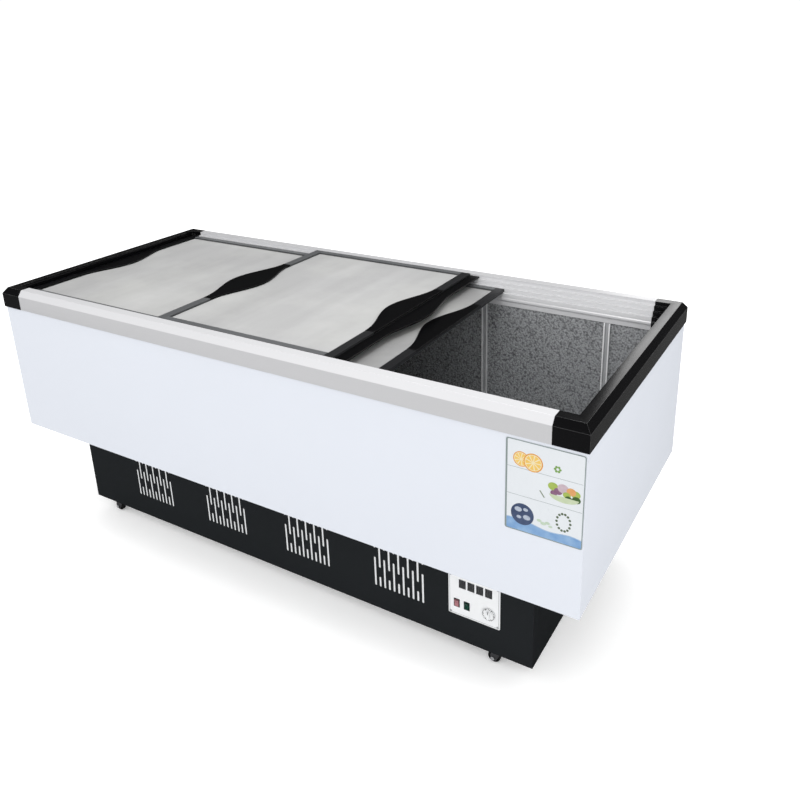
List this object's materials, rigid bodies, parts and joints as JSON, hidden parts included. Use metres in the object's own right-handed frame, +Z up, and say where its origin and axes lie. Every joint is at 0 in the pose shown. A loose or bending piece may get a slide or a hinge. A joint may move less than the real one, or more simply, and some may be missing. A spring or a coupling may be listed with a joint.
{
  "type": "chest freezer",
  "caption": "Long island chest freezer with sliding glass lids on stepped tracks, a white insulated cabinet and a black plinth on swivel casters.",
  "frame": {"origin": "on the floor under the centre of the cabinet", "axes": "+X to the right along the length as seen from the front, +Y to the back, +Z up"},
  "size_m": [2, 0.86, 0.85],
  "materials": {
    "rail_aluminium": "satin anodised",
    "cap_plastic": "gloss black",
    "white_steel": "gloss white enamel",
    "liner_aluminium": "stucco embossed",
    "tube_aluminium": "mill finish",
    "foam": "rigid foam",
    "guide_plastic": "white plastic",
    "printed_plate": "printed film on white plate",
    "plinth_steel": "black powder coat",
    "filter_mat": "white air filter mat",
    "control_plastic": "white moulded",
    "screw_steel": "zinc plated",
    "black_plastic": "moulded black",
    "compressor_paint": "black paint",
    "rubber": "moulded rubber",
    "copper": "bare copper tube",
    "bracket_steel": "galvanised",
    "caster_zinc": "bright zinc",
    "wheel_rubber": "black wheel",
    "frosted_glass": "frosted tempered glass",
    "lid_frame_plastic": "dark grey moulding",
    "nylon": "nylon",
    "handle_plastic": "gloss black",
    "rocker_red": "translucent red",
    "rocker_green": "translucent green"
  },
  "bodies": {
    "cabinet": {"front_rail": "rail_aluminium", "rear_rail": "rail_aluminium", "left_end_cap": "cap_plastic", "right_end_cap": "cap_plastic", "front_panel": "white_steel", "rear_panel": "white_steel", "left_side_panel": "white_steel", "right_side_panel": "white_steel", "cabinet_floor_pan": "white_steel", "inner_liner": "liner_aluminium", "evaporator_tube": "tube_aluminium", "foam_insulation": "foam", "divider_guides": "guide_plastic", "info_plate": "printed_plate", "plinth_front_panel": "plinth_steel", "plinth_rear_panel": "plinth_steel", "plinth_left_panel": "plinth_steel", "plinth_right_panel": "plinth_steel", "base_tray": "plinth_steel", "grille_filter_pads": "filter_mat", "control_panel": "control_plastic", "control_panel_screws": "screw_steel", "switch_housings": "black_plastic", "thermostat_body": "black_plastic", "compressor": "compressor_paint", "compressor_feet": "rubber", "condenser_fins": "tube_aluminium", "condenser_tube": "copper", "fan_bracket": "bracket_steel", "fan_motor": "bracket_steel", "filter_drier": "copper", "refrigerant_pipes": "copper", "cable_gland": "black_plastic", "caster_plates": "caster_zinc"},
    "left_lid": {"left_lid_glass": "frosted_glass", "left_lid_frame": "lid_frame_plastic", "left_lid_gliders": "nylon", "left_lid_handle": "handle_plastic"},
    "middle_lid": {"middle_lid_glass": "frosted_glass", "middle_lid_frame": "lid_frame_plastic", "middle_lid_gliders": "nylon", "middle_lid_left_handle": "handle_plastic", "middle_lid_right_handle": "handle_plastic"},
    "right_lid": {"right_lid_glass": "frosted_glass", "right_lid_frame": "lid_frame_plastic", "right_lid_gliders": "nylon", "right_lid_handle": "handle_plastic"},
    "power_rocker": {"power_rocker": "rocker_red"},
    "light_rocker": {"light_rocker": "rocker_green"},
    "thermostat_dial": {"thermostat_dial": "control_plastic"},
    "fan": {"fan_blade": "black_plastic"},
    "front_left_fork": {"front_left_caster_fork": "caster_zinc"},
    "front_left_wheel": {"front_left_caster_wheel": "wheel_rubber"},
    "front_right_fork": {"front_right_caster_fork": "caster_zinc"},
    "front_right_wheel": {"front_right_caster_wheel": "wheel_rubber"},
    "rear_left_fork": {"rear_left_caster_fork": "caster_zinc"},
    "rear_left_wheel": {"rear_left_caster_wheel": "wheel_rubber"},
    "rear_right_fork": {"rear_right_caster_fork": "caster_zinc"},
    "rear_right_wheel": {"rear_right_caster_wheel": "wheel_rubber"}
  },
  "joints": [
    {"name": "left_lid_slide", "type": "slide", "parent": "cabinet", "child": "left_lid", "axis": [1, 0, 0], "range_m": [0, 1.18]},
    {"name": "middle_lid_slide", "type": "slide", "parent": "cabinet", "child": "middle_lid", "axis": [1, 0, 0], "range_m": [-0.572, 0.576]},
    {"name": "right_lid_slide", "type": "slide", "parent": "cabinet", "child": "right_lid", "axis": [1, 0, 0], "range_m": [-0.675, 0.505]},
    {"name": "power_rocker_tip", "type": "hinge", "parent": "cabinet", "child": "power_rocker", "pos_m": [0.625, -0.323, 0.172], "axis": [1, 0, 0], "range_deg": [-16, 0]},
    {"name": "light_rocker_tip", "type": "hinge", "parent": "cabinet", "child": "light_rocker", "pos_m": [0.655, -0.323, 0.172], "axis": [1, 0, 0], "range_deg": [-16, 0]},
    {"name": "thermostat_turn", "type": "hinge", "parent": "cabinet", "child": "thermostat_dial", "pos_m": [0.72, -0.3245, 0.173], "axis": [0, -1, 0], "range_deg": [-140, 140]},
    {"name": "fan_spin", "type": "hinge", "parent": "cabinet", "child": "fan", "pos_m": [-0.2, -0.194, 0.208], "axis": [0, 1, 0], "continuous": true},
    {"name": "front_left_swivel", "type": "hinge", "parent": "cabinet", "child": "front_left_fork", "pos_m": [-0.743, -0.297, 0.06], "axis": [0, 0, 1], "continuous": true},
    {"name": "front_left_roll", "type": "hinge", "parent": "front_left_fork", "child": "front_left_wheel", "pos_m": [-0.76, -0.297, 0.018], "axis": [0, 1, 0], "continuous": true},
    {"name": "front_right_swivel", "type": "hinge", "parent": "cabinet", "child": "front_right_fork", "pos_m": [0.743, -0.297, 0.06], "axis": [0, 0, 1], "continuous": true},
    {"name": "front_right_roll", "type": "hinge", "parent": "front_right_fork", "child": "front_right_wheel", "pos_m": [0.726, -0.297, 0.018], "axis": [0, 1, 0], "continuous": true},
    {"name": "rear_left_swivel", "type": "hinge", "parent": "cabinet", "child": "rear_left_fork", "pos_m": [-0.743, 0.297, 0.06], "axis": [0, 0, 1], "continuous": true},
    {"name": "rear_left_roll", "type": "hinge", "parent": "rear_left_fork", "child": "rear_left_wheel", "pos_m": [-0.76, 0.297, 0.018], "axis": [0, 1, 0], "continuous": true},
    {"name": "rear_right_swivel", "type": "hinge", "parent": "cabinet", "child": "rear_right_fork", "pos_m": [0.743, 0.297, 0.06], "axis": [0, 0, 1], "continuous": true},
    {"name": "rear_right_roll", "type": "hinge", "parent": "rear_right_fork", "child": "rear_right_wheel", "pos_m": [0.726, 0.297, 0.018], "axis": [0, 1, 0], "continuous": true}
  ]
}
